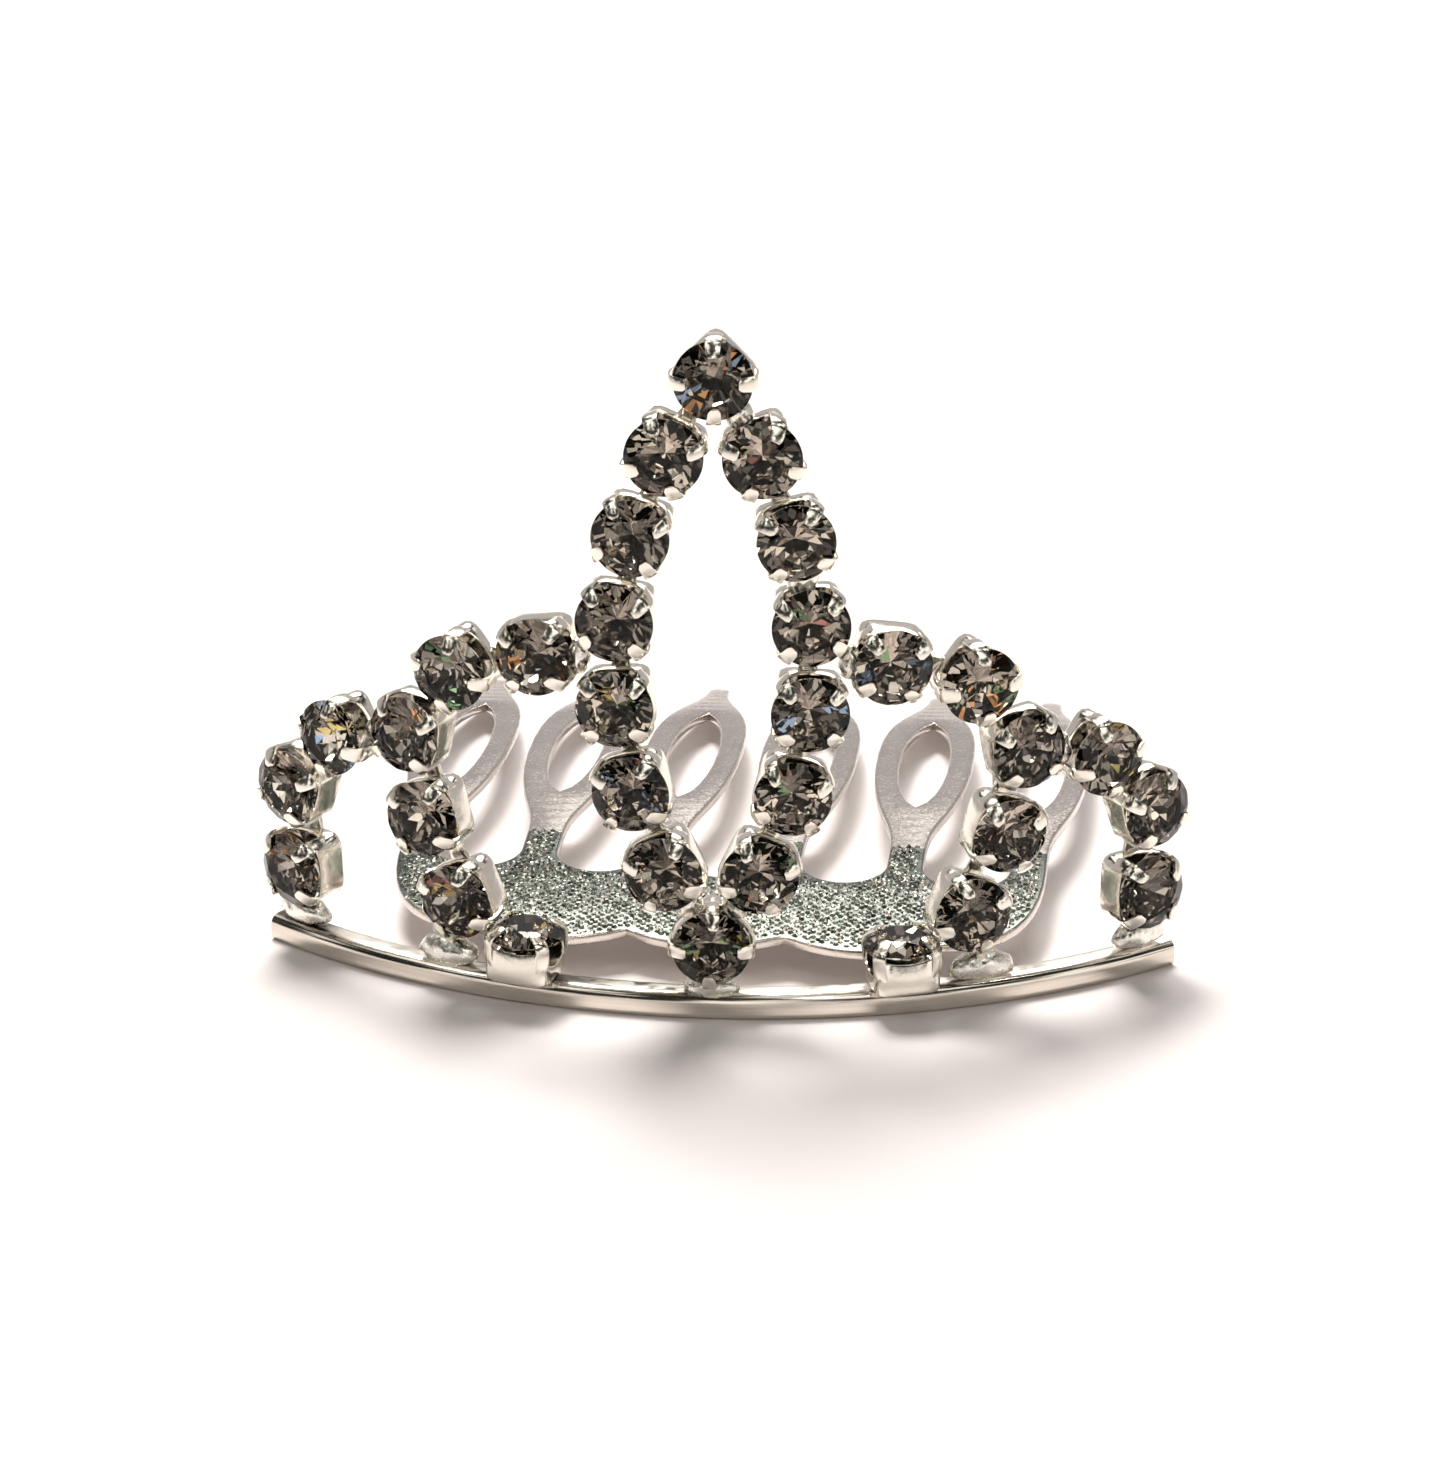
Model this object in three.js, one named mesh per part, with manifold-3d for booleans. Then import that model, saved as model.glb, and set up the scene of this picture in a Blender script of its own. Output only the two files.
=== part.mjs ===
// Mini bridal tiara on a hair comb: rhinestone cup chain bent into a leaf and four arches,
// soldered to a curved band, with a stamped comb behind it.
// Millimetres and degrees, +Z up, front towards -Y. It stands on the underside of the band
// and on the tips of the comb's teeth, with the origin under the middle of its bounding box.
import * as THREE from "three";
import { mergeVertices } from "three/addons/utils/BufferGeometryUtils.js";
import Module from "manifold-3d";

const wasm = await Module();
wasm.setup();

// Stones and their cups
const stoneDiameter = 4; // SS16 chaton
const pavilionDepth = 1.6;
const girdleThickness = 0.15;
const crownHeight = 0.55;
const crownWidth = 0.85; // level distance from girdle to table
const stoneSides = 12;
const cupUndercut = 0.5; // how much narrower the cup is than its stone
const cupDepth = 2;
const cupFloor = 0.45;
const cornerOverhang = 0.2; // cup corners beyond the girdle
const seatClearance = 0.06;
const prongWidth = 0.6;
const prongThickness = 0.24;
const prongGrip = 0.6; // how far a prong reaches in over the girdle
const prongRoot = 0.8; // where a prong leaves the cup, above its back

// Chain
const linkGap = 1.1; // between neighbouring cups of a strip
const linkWidth = 1.3;
const linkThickness = 0.3;
const linkOverlap = 0.35; // how far a link runs into a cup
const backRadius = 36; // plan radius of the cups' backs

// Marquise loop
const marquiseAngle = 35; // each side leaves the tip this far from upright
const marquiseSideStones = 6;
const splitAfterStone = 2; // the right side is two strips, joined here
const footJointGap = 0.55; // between the marquise's lowest cup and the band

// Arches: headings of each link, outwards along the band from 0, negative is down
const innerHeadings = [-18, -57, -101, -113];
const outerHeadings = [-15, -50, -92];
const outerStartStone = 2; // the outer arch starts from this stone of the inner one
const sideJointGap = 0.45; // between the marquise and the inner arch
const legClearance = 0.46; // share of the cup by which a leg's last cup clears its foot cup
const footSpacing = 0.825; // share of a stone between a leg's last cup and its foot cup

// Band
const bandHeight = 1.4;
const bandThickness = 1.4;
const bandSetOut = 0.5; // band's rear face outside the cups' backs
const bandOverrun = 1.7; // band past the middle of the end cups
const bandChamfer = 0.2;
const bandSegments = 28;

// Comb
const toothCount = 6;
const toothPitch = 6.6;
const stemWidth = 2;
const loopWidth = 5.5;
const loopArm = 1.35;
const toothTipWidth = 1.3;
const spineDepth = 7.5; // front of the lobes to the bottom of a valley
const stemEnd = 12; // these five run back from the front of the lobes
const loopStart = 16.5;
const loopMiddle = 27;
const loopEnd = 35.2;
const combLength = 40.6;
const lobeCount = 5;
const lobeDepth = 1.2;
const cornerRadius = 5;
const combThickness = 0.6;
const combBendRadius = 131;
const combSkew = 2.6; // the comb is soldered on slightly askew
const combShift = -0.7; // and slightly off the middle
const combSolderOffset = 14.8; // from the middle to each comb joint
const combSetBack = 0.3; // lobes behind the band at those joints
const combClearance = 0.1;

// Solder
const jointClearance = 0.05;
const beadWidth = 1.5;
const beadDepth = 1.2;
const beadSides = 8;
const combBeadLength = 1.7;
const turnAllowance = 0.35; // room that turned cups take out of a joint

// Worked out
const stoneRadius = stoneDiameter / 2;
const cupWidth = stoneDiameter - cupUndercut;
const cupHalf = cupWidth / 2;
const cornerReach = stoneRadius + cornerOverhang;
const chainPitch = cupWidth + linkGap;
const footStep = footSpacing * stoneDiameter;
const stoneFoot = cupFloor + seatClearance;
const girdleLow = stoneFoot + pavilionDepth;
const girdleTop = girdleLow + girdleThickness;
const bandInner = backRadius + bandSetOut;
const bandOuter = bandInner + bandThickness;
const bandMiddle = (bandInner + bandOuter) / 2;
const radians = THREE.MathUtils.degToRad;

const silver = new THREE.MeshStandardMaterial({ color: 0xe9e5dc, roughness: 0.2, metalness: 1 });
const bandSilver = new THREE.MeshStandardMaterial({ color: 0xdedbd2, roughness: 0.15, metalness: 1 });
const combSilver = new THREE.MeshStandardMaterial({ color: 0x8c918a, roughness: 0.45, metalness: 1 });
const solder = new THREE.MeshStandardMaterial({ color: 0xf1eee4, roughness: 0.3, metalness: 1 });
const crystal = new THREE.MeshStandardMaterial({ color: 0x77716c, roughness: 0.05, metalness: 0 });

const tiara = new THREE.Group();

function addMesh(name, geometry, material, matrix) {
  const mesh = new THREE.Mesh(geometry, material);
  mesh.name = name;
  if (matrix) mesh.applyMatrix4(matrix);
  tiara.add(mesh);
}

// A closed geometry as a solid that can be joined and cut.
function solidOf(geometry, matrix) {
  const bare = geometry.clone();
  bare.deleteAttribute("normal");
  bare.deleteAttribute("uv");
  if (matrix) bare.applyMatrix4(matrix);
  const merged = mergeVertices(bare, 1e-4);
  const vertProperties = merged.attributes.position.array;
  const triVerts = new Uint32Array(merged.index.array);
  return new wasm.Manifold(new wasm.Mesh({ numProp: 3, vertProperties, triVerts }));
}

function geometryOf(solid) {
  const mesh = solid.getMesh();
  const geometry = new THREE.BufferGeometry();
  geometry.setAttribute("position", new THREE.BufferAttribute(mesh.vertProperties, 3));
  geometry.setIndex(new THREE.BufferAttribute(mesh.triVerts, 1));
  geometry.computeVertexNormals();
  return geometry;
}

// A turned solid about its own Z axis, from [radius, height] pairs that run up the outside.
function turned(profile, sides) {
  const points = profile.map(([radius, height]) => new THREE.Vector2(radius, height));
  return new THREE.LatheGeometry(points, sides).rotateX(Math.PI / 2);
}

// The frame of a cup: its back at (along, up) on the cylinder of the cups' backs, its own X
// along the chain and its own Z out of the front.
function seatMatrix({ along, up, heading }, radius = backRadius) {
  const turn = along / backRadius;
  const outwards = new THREE.Vector3(Math.sin(turn), -Math.cos(turn), 0);
  const sideways = new THREE.Vector3(Math.cos(turn), Math.sin(turn), 0);
  return new THREE.Matrix4()
    .makeBasis(sideways, new THREE.Vector3(0, 0, 1), outwards)
    .setPosition(outwards.clone().multiplyScalar(radius).setZ(up))
    .multiply(new THREE.Matrix4().makeRotationZ(radians(heading)));
}

function stoneGeometry() {
  const table = stoneRadius - crownWidth;
  const profile = [[0, 0], [stoneRadius, pavilionDepth]];
  profile.push([stoneRadius, pavilionDepth + girdleThickness]);
  profile.push([table, pavilionDepth + girdleThickness + crownHeight]);
  profile.push([0, pavilionDepth + girdleThickness + crownHeight]);
  return turned(profile, stoneSides).translate(0, 0, stoneFoot);
}

// One claw: up the corner of the cup, then in over the crown, clear of the stone all the way.
function prongGeometry() {
  const inner = stoneRadius + seatClearance;
  const outer = inner + prongThickness;
  const tip = stoneRadius - prongGrip;
  const tipHeight = girdleTop + (prongGrip / crownWidth) * crownHeight + seatClearance;
  const outline = new THREE.Shape()
    .moveTo(inner, prongRoot)
    .lineTo(outer, prongRoot)
    .lineTo(outer, girdleTop + prongThickness / 2)
    .lineTo(tip, tipHeight + prongThickness)
    .lineTo(tip, tipHeight)
    .lineTo(inner, girdleTop + seatClearance);
  return new THREE.ExtrudeGeometry(outline, { depth: prongWidth, bevelEnabled: false })
    .rotateX(Math.PI / 2)
    .translate(0, prongWidth / 2, 0);
}

// A square cup with cut corners, a seat for the pavilion and a claw at each corner.
function cupSolid() {
  const corner = cornerReach * Math.SQRT2 - cupHalf;
  const outline = new THREE.Shape();
  for (let side = 0; side < 4; side += 1) {
    for (const across of [-corner, corner]) {
      const point = new THREE.Vector2(cupHalf, across);
      point.rotateAround(new THREE.Vector2(), side * Math.PI / 2);
      if (side === 0 && across < 0) outline.moveTo(point.x, point.y);
      else outline.lineTo(point.x, point.y);
    }
  }
  const body = new THREE.ExtrudeGeometry(outline, { depth: cupDepth, bevelEnabled: false });
  const slope = stoneRadius / pavilionDepth;
  const seatTop = cupDepth + 1;
  const seatProfile = [[0, cupFloor], [(seatTop - cupFloor) * slope, seatTop], [0, seatTop]];
  let cup = solidOf(body).subtract(solidOf(turned(seatProfile, stoneSides)));
  for (let claw = 0; claw < 4; claw += 1) {
    const turn = new THREE.Matrix4().makeRotationZ((claw + 0.5) * Math.PI / 2);
    cup = cup.add(solidOf(prongGeometry(), turn));
  }
  return cup;
}

const cup = geometryOf(cupSolid());
const stone = stoneGeometry();

// The flat strip that joins the backs of two neighbouring cups.
function linkSolid(from, to) {
  const start = new THREE.Vector3().setFromMatrixPosition(seatMatrix(from));
  const end = new THREE.Vector3().setFromMatrixPosition(seatMatrix(to));
  const between = seatMatrix({ along: (from.along + to.along) / 2, up: 0, heading: 0 });
  const along = end.clone().sub(start).normalize();
  const length = start.distanceTo(end) - cupWidth + 2 * linkOverlap;
  const outwards = new THREE.Vector3().setFromMatrixColumn(between, 2);
  const across = outwards.clone().cross(along).normalize();
  outwards.crossVectors(along, across);
  const middle = start.add(end).divideScalar(2).addScaledVector(outwards, cupFloor / 2);
  const frame = new THREE.Matrix4().makeBasis(along, across, outwards).setPosition(middle);
  return solidOf(new THREE.BoxGeometry(length, linkWidth, linkThickness), frame);
}

// A strip of cup chain as one piece of metal, with a stone in each cup.
function addStrip(name, seats) {
  let strip = null;
  seats.forEach((seat, index) => {
    const here = solidOf(cup, seatMatrix(seat));
    strip = strip ? strip.add(here).add(linkSolid(seats[index - 1], seat)) : here;
  });
  addMesh(name, geometryOf(strip), silver);
}

function addStones(name, seats) {
  seats.forEach((seat, index) => {
    addMesh(`${name}_stone_${index + 1}`, stone, crystal, seatMatrix(seat));
  });
}

// The same seat on the other side of the tiara.
function mirrored({ along, up, heading }) {
  return { along: -along, up, heading: -heading };
}

// One side of the leaf: cups on an arc between the tip cup and the foot cup.
const marquiseSteps = marquiseSideStones + 1;
const marquiseStep = 2 * marquiseAngle / marquiseSteps;
const marquiseRadius = chainPitch / 2 / Math.sin(radians(marquiseStep / 2));
const footCupHeight = bandHeight + footJointGap + cornerReach;
const marquiseMiddle = footCupHeight + marquiseRadius * Math.sin(radians(marquiseAngle));

function marquiseSeats() {
  const seats = [];
  for (let number = 1; number <= marquiseSideStones; number += 1) {
    const turn = marquiseAngle - number * marquiseStep;
    const along = marquiseRadius * (Math.cos(radians(turn)) - Math.cos(radians(marquiseAngle)));
    seats.push({ along, up: marquiseMiddle + marquiseRadius * Math.sin(radians(turn)), heading: 90 + turn });
  }
  return seats;
}

// Cups from a start, one for each heading, each turned half way between the links it joins.
function strung(start, headings) {
  const seats = [start];
  headings.forEach((heading, index) => {
    const last = seats[index];
    const next = headings[index + 1] ?? heading;
    seats.push({
      along: last.along + chainPitch * Math.cos(radians(heading)),
      up: last.up + chainPitch * Math.sin(radians(heading)),
      heading: (heading + next) / 2,
    });
  });
  return seats;
}

// The inner arch springs from the leaf's side and comes down as a leg, which sets its height.
function innerSeats() {
  const widest = Math.max(...marquiseSeats().map((seat) => seat.along));
  const start = { along: widest + cupWidth + sideJointGap, up: 0, heading: innerHeadings[0] / 2 };
  const seats = strung(start, innerHeadings);
  const legEnd = bandHeight + jointClearance + girdleTop + legClearance * cupWidth;
  const rise = legEnd - seats[seats.length - 1].up;
  return seats.map((seat) => ({ ...seat, up: seat.up + rise }));
}

function outerSeats() {
  return strung(innerSeats()[outerStartStone], outerHeadings).slice(1);
}

// The cup at a leg's foot lies on its back on the band, facing up.
function footSeatMatrix(side) {
  const inner = innerSeats();
  const along = side * (inner[inner.length - 1].along - footStep);
  const turn = along / backRadius;
  const sideways = new THREE.Vector3(Math.cos(turn), Math.sin(turn), 0);
  const inwards = new THREE.Vector3(-Math.sin(turn), Math.cos(turn), 0);
  return new THREE.Matrix4()
    .makeBasis(sideways, inwards, new THREE.Vector3(0, 0, 1))
    .setPosition(inwards.clone().multiplyScalar(-bandMiddle).setZ(bandHeight + jointClearance));
}

const bandHalf = (outerSeats()[outerHeadings.length - 1].along + bandOverrun) / backRadius;

// A bar bent along the bottom, with its edges taken off.
function bandGeometry() {
  const start = -Math.PI / 2 - bandHalf;
  const end = -Math.PI / 2 + bandHalf;
  const outline = new THREE.Shape();
  const inset = bandChamfer;
  outline.absarc(0, 0, bandOuter - inset, start, end, false);
  outline.absarc(0, 0, bandInner + inset, end, start, true);
  return new THREE.ExtrudeGeometry(outline, {
    depth: bandHeight - 2 * bandChamfer,
    bevelThickness: bandChamfer,
    bevelSize: bandChamfer,
    bevelSegments: 1,
    curveSegments: bandSegments,
  }).translate(0, 0, bandChamfer);
}

// The comb flat: X along its spine, Y from the front of its lobes to the tips of its teeth.
function combOutline() {
  const half = ((toothCount - 1) * toothPitch + stemWidth) / 2;
  const valleyRadius = (toothPitch - stemWidth) / 2;
  const stemStart = spineDepth + valleyRadius;
  const tipRadius = toothTipWidth / 2;
  const outline = new THREE.Shape().moveTo(-half, stemStart);
  outline.quadraticCurveTo(-half, lobeDepth, cornerRadius - half, lobeDepth);
  const lobeWidth = 2 * (half - cornerRadius) / (lobeCount - 2);
  for (let lobe = 0; lobe < lobeCount - 2; lobe += 1) {
    const from = cornerRadius - half + lobe * lobeWidth;
    outline.quadraticCurveTo(from + lobeWidth / 2, -lobeDepth, from + lobeWidth, lobeDepth);
  }
  outline.quadraticCurveTo(half, lobeDepth, half, stemStart);
  for (let tooth = toothCount - 1; tooth >= 0; tooth -= 1) {
    const middle = (tooth - (toothCount - 1) / 2) * toothPitch;
    for (const side of [1, -1]) {
      const stem = middle + side * stemWidth / 2;
      const loop = middle + side * loopWidth / 2;
      const tip = middle + side * tipRadius;
      const legs = [[stem, stemEnd], [stem, loopStart], [loop, loopStart], [loop, loopMiddle]];
      const neck = [[loop, loopMiddle], [loop, loopEnd], [tip, loopEnd], [tip, combLength - tipRadius]];
      for (const [p, q, r, s] of side > 0 ? [legs, neck] : [[...neck].reverse(), [...legs].reverse()]) {
        outline.lineTo(...p).bezierCurveTo(...q, ...r, ...s);
      }
      if (side > 0) outline.absarc(middle, combLength - tipRadius, tipRadius, 0, Math.PI, false);
    }
    if (tooth > 0) outline.absarc(middle - toothPitch / 2, stemStart, valleyRadius, 0, Math.PI, true);
    outline.holes.push(loopHole(middle));
  }
  return outline;
}

function loopHole(middle) {
  const half = loopWidth / 2 - loopArm;
  const near = loopStart + loopArm;
  const far = loopEnd - loopArm;
  const bulge = half * 4 / 3;
  return new THREE.Path()
    .moveTo(middle, near)
    .bezierCurveTo(middle - bulge, near + half, middle - bulge, far - 2 * half, middle, far)
    .bezierCurveTo(middle + bulge, far - 2 * half, middle + bulge, near + half, middle, near);
}

// Bends a flat sheet about X, so that it lies on the floor at its tips and at frontHeight in front.
function bendComb(geometry, frontHeight) {
  const whole = combLength / combBendRadius;
  const lead = whole / 2 - Math.asin(frontHeight / (2 * combBendRadius * Math.sin(whole / 2)));
  const position = geometry.getAttribute("position");
  for (let index = 0; index < position.count; index += 1) {
    const turn = position.getY(index) / combBendRadius - lead;
    const radius = combBendRadius + position.getZ(index);
    const drop = combBendRadius * Math.cos(lead);
    position.setY(index, radius * Math.sin(turn) + combBendRadius * Math.sin(lead));
    position.setZ(index, radius * Math.cos(turn) - drop + frontHeight);
  }
  geometry.computeVertexNormals();
  return geometry;
}

function combGeometry() {
  const flat = new THREE.ExtrudeGeometry(combOutline(), {
    depth: combThickness,
    bevelEnabled: false,
    curveSegments: 6,
  });
  const bandRear = -Math.sqrt(bandInner ** 2 - combSolderOffset ** 2);
  return bendComb(flat, bandHeight + combClearance)
    .rotateZ(radians(-combSkew))
    .translate(combShift, bandRear + combSetBack, 0);
}

// A drop of solder, as wide, deep and high as given, in the frame of a joint.
function addBead(name, matrix, width, depth, height) {
  const bead = new THREE.SphereGeometry(0.5, beadSides, beadSides / 2).scale(width, depth, height);
  addMesh(name, bead, solder, matrix);
}

// Solder between two cups, half way up their sides.
function addCupBead(name, from, to, gap) {
  const heading = THREE.MathUtils.radToDeg(Math.atan2(to.up - from.up, to.along - from.along));
  const middle = { along: (from.along + to.along) / 2, up: (from.up + to.up) / 2, heading };
  const matrix = seatMatrix(middle, backRadius + cupDepth / 2);
  addBead(name, matrix, gap - 2 * jointClearance, beadWidth, beadDepth);
}

// Solder that fills the height between the top of the band and a cup above it.
function addBandBead(name, along, top) {
  const gap = top - bandHeight;
  const matrix = seatMatrix({ along, up: bandHeight + gap / 2, heading: 0 }, bandMiddle);
  addBead(name, matrix, beadWidth, gap - 2 * jointClearance, beadDepth);
}

const tipSeat = {
  along: 0,
  up: marquiseMiddle + marquiseRadius * Math.sin(radians(marquiseAngle)),
  heading: 45,
};
const footSeat = { along: 0, up: footCupHeight, heading: 45 };
const turnedGap = linkGap - turnAllowance;

addMesh("base_band", bandGeometry(), bandSilver);
addMesh("hair_comb", combGeometry(), combSilver);
addStones("marquise_tip", [tipSeat]);
addStrip("marquise_foot_cup", [footSeat]);
addStones("marquise_foot", [footSeat]);
addBandBead("marquise_foot_solder", 0, footCupHeight - cornerReach);

for (const [sideName, side] of [["left", -1], ["right", 1]]) {
  const placed = (seats) => (side > 0 ? seats : seats.map(mirrored));
  const leaf = placed(marquiseSeats());
  const inner = placed(innerSeats());
  const outer = placed(outerSeats());
  const legEnd = inner[inner.length - 1];
  const postEnd = outer[outer.length - 1];

  if (side < 0) {
    addStrip("marquise_left_strip", [tipSeat, ...leaf]);
  } else {
    addStrip("marquise_right_upper_strip", leaf.slice(0, splitAfterStone));
    addStrip("marquise_right_lower_strip", leaf.slice(splitAfterStone));
    const [above, below] = leaf.slice(splitAfterStone - 1);
    addCupBead("marquise_right_solder", above, below, turnedGap);
    addCupBead("marquise_tip_solder", tipSeat, leaf[0], turnedGap);
  }
  addStones(`marquise_${sideName}`, leaf);
  addCupBead(`marquise_foot_solder_${sideName}`, footSeat, leaf[leaf.length - 1], turnedGap);

  addStrip(`inner_arch_${sideName}_strip`, inner);
  addStones(`inner_arch_${sideName}`, inner);
  const widest = Math.max(...marquiseSeats().map((seat) => seat.along));
  const leafSide = { along: side * widest, up: inner[0].up, heading: 0 };
  addCupBead(`inner_arch_${sideName}_solder`, leafSide, inner[0], sideJointGap);
  const legFoot = legEnd.up - cupHalf * Math.SQRT2;
  addBandBead(`leg_${sideName}_solder`, legEnd.along + side * cupHalf / 2, legFoot);

  const footMatrix = footSeatMatrix(side);
  addMesh(`leg_foot_${sideName}_cup`, cup, silver, footMatrix);
  addMesh(`leg_foot_${sideName}_stone`, stone, crystal, footMatrix);

  addStrip(`outer_arch_${sideName}_strip`, outer);
  addStones(`outer_arch_${sideName}`, outer);
  addCupBead(`outer_arch_${sideName}_solder`, inner[outerStartStone], outer[0], turnedGap);
  addBandBead(`end_post_${sideName}_solder`, postEnd.along, postEnd.up - cupHalf - jointClearance);

  const combTurn = side * Math.asin(combSolderOffset / bandInner);
  const combBeadRadius = bandInner - jointClearance - combBeadLength / 2;
  const combJoint = { along: combTurn * backRadius, up: bandHeight / 2 + combClearance, heading: 0 };
  const combMatrix = seatMatrix(combJoint, combBeadRadius);
  addBead(`comb_solder_${sideName}`, combMatrix, beadWidth, beadDepth, combBeadLength);
}

// The origin goes under the middle of the whole.
const box = new THREE.Box3().setFromObject(tiara, true);
const centre = box.getCenter(new THREE.Vector3());
tiara.position.set(-centre.x, -centre.y, -box.min.z);

export default tiara;
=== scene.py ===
import math
import random

import bmesh
import bpy
from mathutils import Matrix, Vector, noise
from mathutils.bvhtree import BVHTree


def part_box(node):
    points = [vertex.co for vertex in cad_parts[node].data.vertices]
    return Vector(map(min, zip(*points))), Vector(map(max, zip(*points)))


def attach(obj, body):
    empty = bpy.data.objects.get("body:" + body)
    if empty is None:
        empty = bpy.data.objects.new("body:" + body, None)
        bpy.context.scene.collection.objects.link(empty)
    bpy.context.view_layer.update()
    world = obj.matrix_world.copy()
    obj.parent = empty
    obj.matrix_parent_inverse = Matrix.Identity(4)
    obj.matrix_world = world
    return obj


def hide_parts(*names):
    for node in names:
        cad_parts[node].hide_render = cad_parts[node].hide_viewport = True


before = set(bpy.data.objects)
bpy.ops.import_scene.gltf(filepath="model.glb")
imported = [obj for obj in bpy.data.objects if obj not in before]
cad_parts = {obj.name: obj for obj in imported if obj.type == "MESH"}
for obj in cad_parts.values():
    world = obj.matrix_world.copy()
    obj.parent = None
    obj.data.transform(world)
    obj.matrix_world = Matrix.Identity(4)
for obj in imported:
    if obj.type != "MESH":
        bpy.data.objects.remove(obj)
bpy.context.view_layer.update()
print("frame loaded,", len(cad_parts), "nodes")

mm = 0.001  # shapes are made in millimetres and brought to metres at the end


def linearColour(code):
    parts = [int(code[at:at + 2], 16) / 255 for at in (1, 3, 5)]
    return [p / 12.92 if p <= 0.04045 else ((p + 0.055) / 1.055) ** 2.4 for p in parts] + [1]


def addNode(tree, kind, settings=None, links=None):
    node = tree.nodes.new(kind)
    for name, value in (settings or {}).items():
        if isinstance(name, int) or name in node.inputs:
            node.inputs[name].default_value = value
        else:
            setattr(node, name, value)
    for name, source in (links or {}).items():
        tree.links.new(source, node.inputs[name])
    return node


def newMaterial(name):
    material = bpy.data.materials.new(name)
    material.use_nodes = True
    material.node_tree.nodes.clear()
    return material, material.node_tree


# Grows a closed skin ring by ring; each placement gives a vertex its place from its angle.
def loftRings(part, sides, placements):
    ring = bmesh.ops.create_circle(part, cap_ends=False, segments=sides, radius=1)["verts"]
    edges = list(dict.fromkeys(edge for vert in ring for edge in vert.link_edges))
    turns = [math.atan2(vert.co.y, vert.co.x) for vert in ring]
    made = []
    for step, place in enumerate(placements):
        if step:
            turnAt = {tuple(vert.co): turn for vert, turn in zip(ring, turns)}
            grown = bmesh.ops.extrude_edge_only(part, edges=edges)["geom"]
            ring = [item for item in grown if isinstance(item, bmesh.types.BMVert)]
            turns = [turnAt[tuple(vert.co)] for vert in ring]
            inRing = set(ring)
            edges = [item for item in grown if isinstance(item, bmesh.types.BMEdge)
                     and inRing.issuperset(item.verts)]
        for vert, turn in zip(ring, turns):
            vert.co = place(turn)
        made += ring
        if step in (0, len(placements) - 1):
            bmesh.ops.edgeloop_fill(part, edges=edges)
    return made


def mergeInto(whole, part, matrix):
    bmesh.ops.recalc_face_normals(part, faces=part.faces)
    scratch = bpy.data.meshes.new("scratch")
    part.to_mesh(scratch)
    part.free()
    scratch.transform(matrix)
    whole.from_mesh(scratch)
    bpy.data.meshes.remove(scratch)


# Turns a finished skin in millimetres into a piece that stands for its CAD node.
def makePiece(name, whole, materials, node, sharpFrom=None):
    bmesh.ops.scale(whole, vec=(mm, mm, mm), verts=whole.verts)
    mesh = bpy.data.meshes.new(name)
    whole.to_mesh(mesh)
    whole.free()
    for material in materials:
        mesh.materials.append(material)
    if sharpFrom:
        mesh.shade_smooth()
        mesh.set_sharp_from_angle(angle=math.radians(sharpFrom))
    piece = bpy.data.objects.new(name, mesh)
    bpy.context.scene.collection.objects.link(piece)
    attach(piece, "root")
    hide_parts(node)
    return piece


layout = {
    "bandRadius": 37.9,  # front of the band in plan
    "backRadius": 36,  # backs of the cups
    "bandMiddle": 37.2,
    "bandTop": 1.45,
    "tipHeading": 45,  # the tip and foot cups stand on a corner
    "tilt": 2.6,  # degrees, hand bending of the chain
    "tiltAbout": 1.2,  # height in the cup that it turns about
}

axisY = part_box("base_band")[0].y / mm + layout["bandRadius"]


def stonePlace(node):
    corners = {tuple(round(c, 7) for c in vert.co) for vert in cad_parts[node].data.vertices}
    middle = sum((Vector(corner) for corner in corners), Vector()) / len(corners) / mm
    turn = math.atan2(middle.x, axisY - middle.y)
    return Vector((layout["backRadius"] * turn, middle.z))


def seatMatrix(place, heading, radius=None):
    turn = place.x / layout["backRadius"]
    outwards = Vector((math.sin(turn), -math.cos(turn), 0))
    sideways = Vector((math.cos(turn), math.sin(turn), 0))
    origin = outwards * (radius or layout["backRadius"]) + Vector((0, axisY, place.y))
    turned = Matrix((sideways, Vector((0, 0, 1)), outwards)).transposed().to_4x4()
    return Matrix.Translation(origin) @ turned @ Matrix.Rotation(math.radians(heading), 4, "Z")


def footMatrix(place):
    turn = place.x / layout["backRadius"]
    sideways = Vector((math.cos(turn), math.sin(turn), 0))
    inwards = Vector((-math.sin(turn), math.cos(turn), 0))
    origin = inwards * -layout["bandMiddle"] + Vector((0, axisY, layout["bandTop"]))
    turned = Matrix((sideways, inwards, Vector((0, 0, 1)))).transposed().to_4x4()
    return Matrix.Translation(origin) @ turned


# Headings along a run of cups: each is half way between the links on its two sides.
def runHeadings(places, side, before=None, after=None):
    points = [p for p in [before, *places, after] if p is not None]
    links = [math.degrees(math.atan2(q.y - p.y, side * (q.x - p.x)))
             for p, q in zip(points, points[1:])]
    headings = []
    for index in range(len(places)):
        at = index + (before is not None)
        into = links[at - 1] if at > 0 else 0
        onwards = links[at] if at < len(links) else into
        headings.append(side * (into + onwards) / 2)
    return headings


def handBent(matrix, name):
    luck = random.Random(name)
    tilt = layout["tilt"]
    middle = Matrix.Translation((0, 0, layout["tiltAbout"]))
    bend = Matrix.Rotation(math.radians(luck.uniform(-tilt, tilt)), 4, "X")
    bend = bend @ Matrix.Rotation(math.radians(luck.uniform(-tilt, tilt)), 4, "Y")
    return matrix @ middle @ bend @ middle.inverted()


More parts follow.
